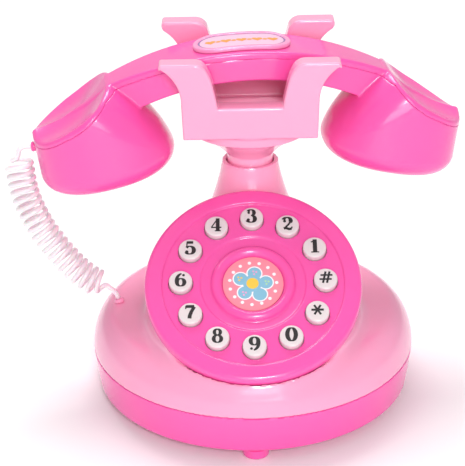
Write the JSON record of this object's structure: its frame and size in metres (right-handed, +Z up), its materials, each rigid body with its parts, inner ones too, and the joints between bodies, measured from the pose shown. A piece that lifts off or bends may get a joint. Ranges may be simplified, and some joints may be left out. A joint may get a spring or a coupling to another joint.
{
  "type": "toy telephone",
  "caption": "Toy table telephone with a round base, a tilted dial of push keys, a sprung cradle, an arched handset and a curly cord.",
  "frame": {"origin": "on the table, under the middle of the round base", "axes": "+Z up, +X along the handset towards its right cup, -Y towards the dial side"},
  "size_m": [0.1551, 0.11, 0.1208],
  "materials": {
    "hot_pink": "gloss, slightly translucent injection-moulded plastic",
    "light_pink": "gloss, slightly translucent injection-moulded plastic",
    "key_white": "satin off-white plastic with printed characters",
    "printed_sticker": "gloss printed sticker",
    "grey_rubber": "matt silicone",
    "board": "satin laminate",
    "dark": "satin",
    "steel": "bright zinc plated",
    "cord_pvc": "gloss translucent vinyl"
  },
  "bodies": {
    "base": {"base_tray": "hot_pink", "feet": "hot_pink", "tray_screws": "steel", "battery_box": "light_pink", "batteries": "dark", "battery_contacts": "steel", "battery_door": "hot_pink", "door_screw": "steel", "speaker": "dark", "switch_tower": "hot_pink", "hook_switch": "dark", "base_shell": "light_pink", "dial_plate": "hot_pink", "medallion": "printed_sticker", "rubber_keypad": "grey_rubber", "circuit_board": "board", "sound_chip": "dark", "dial_screws": "steel", "hook_spring": "steel", "base_cord_grommet": "light_pink", "cord_tail_top": "cord_pvc", "cord_coil": "cord_pvc", "cord_tail_bottom": "cord_pvc"},
    "cradle": {"cradle": "light_pink", "hook_plunger": "light_pink", "plunger_clip": "steel"},
    "handset": {"handset_lower_shell": "hot_pink", "handset_top_cover": "hot_pink", "handset_screws": "steel", "badge_plate": "hot_pink", "earpiece_grille": "hot_pink", "mouthpiece_grille": "hot_pink", "handset_cord_grommet": "hot_pink"},
    "key_1": {"key_1": "key_white"},
    "key_2": {"key_2": "key_white"},
    "key_3": {"key_3": "key_white"},
    "key_4": {"key_4": "key_white"},
    "key_5": {"key_5": "key_white"},
    "key_6": {"key_6": "key_white"},
    "key_7": {"key_7": "key_white"},
    "key_8": {"key_8": "key_white"},
    "key_9": {"key_9": "key_white"},
    "key_0": {"key_0": "key_white"},
    "key_star": {"key_star": "key_white"},
    "key_hash": {"key_hash": "key_white"}
  },
  "joints": [
    {"name": "cradle_press", "type": "slide", "parent": "base", "child": "cradle", "axis": [0, 0, 1], "range_m": [-0.0025, 0], "stiffness_N_per_m": 400, "springref_m": 0.004, "deforming": ["hook_spring"]},
    {"name": "handset_lift", "type": "slide", "parent": "base", "child": "handset", "axis": [0, 0, 1], "range_m": [0, 0.02]},
    {"name": "key_1_press", "type": "slide", "parent": "base", "child": "key_1", "axis": [0, -0.5736, 0.8192], "range_m": [-0.0015, 0], "stiffness_N_per_m": 150, "springref_m": 0.0005},
    {"name": "key_2_press", "type": "slide", "parent": "base", "child": "key_2", "axis": [0, -0.5736, 0.8192], "range_m": [-0.0015, 0], "stiffness_N_per_m": 150, "springref_m": 0.0005},
    {"name": "key_3_press", "type": "slide", "parent": "base", "child": "key_3", "axis": [0, -0.5736, 0.8192], "range_m": [-0.0015, 0], "stiffness_N_per_m": 150, "springref_m": 0.0005},
    {"name": "key_4_press", "type": "slide", "parent": "base", "child": "key_4", "axis": [0, -0.5736, 0.8192], "range_m": [-0.0015, 0], "stiffness_N_per_m": 150, "springref_m": 0.0005},
    {"name": "key_5_press", "type": "slide", "parent": "base", "child": "key_5", "axis": [0, -0.5736, 0.8192], "range_m": [-0.0015, 0], "stiffness_N_per_m": 150, "springref_m": 0.0005},
    {"name": "key_6_press", "type": "slide", "parent": "base", "child": "key_6", "axis": [0, -0.5736, 0.8192], "range_m": [-0.0015, 0], "stiffness_N_per_m": 150, "springref_m": 0.0005},
    {"name": "key_7_press", "type": "slide", "parent": "base", "child": "key_7", "axis": [0, -0.5736, 0.8192], "range_m": [-0.0015, 0], "stiffness_N_per_m": 150, "springref_m": 0.0005},
    {"name": "key_8_press", "type": "slide", "parent": "base", "child": "key_8", "axis": [0, -0.5736, 0.8192], "range_m": [-0.0015, 0], "stiffness_N_per_m": 150, "springref_m": 0.0005},
    {"name": "key_9_press", "type": "slide", "parent": "base", "child": "key_9", "axis": [0, -0.5736, 0.8192], "range_m": [-0.0015, 0], "stiffness_N_per_m": 150, "springref_m": 0.0005},
    {"name": "key_0_press", "type": "slide", "parent": "base", "child": "key_0", "axis": [0, -0.5736, 0.8192], "range_m": [-0.0015, 0], "stiffness_N_per_m": 150, "springref_m": 0.0005},
    {"name": "key_star_press", "type": "slide", "parent": "base", "child": "key_star", "axis": [0, -0.5736, 0.8192], "range_m": [-0.0015, 0], "stiffness_N_per_m": 150, "springref_m": 0.0005},
    {"name": "key_hash_press", "type": "slide", "parent": "base", "child": "key_hash", "axis": [0, -0.5736, 0.8192], "range_m": [-0.0015, 0], "stiffness_N_per_m": 150, "springref_m": 0.0005}
  ]
}
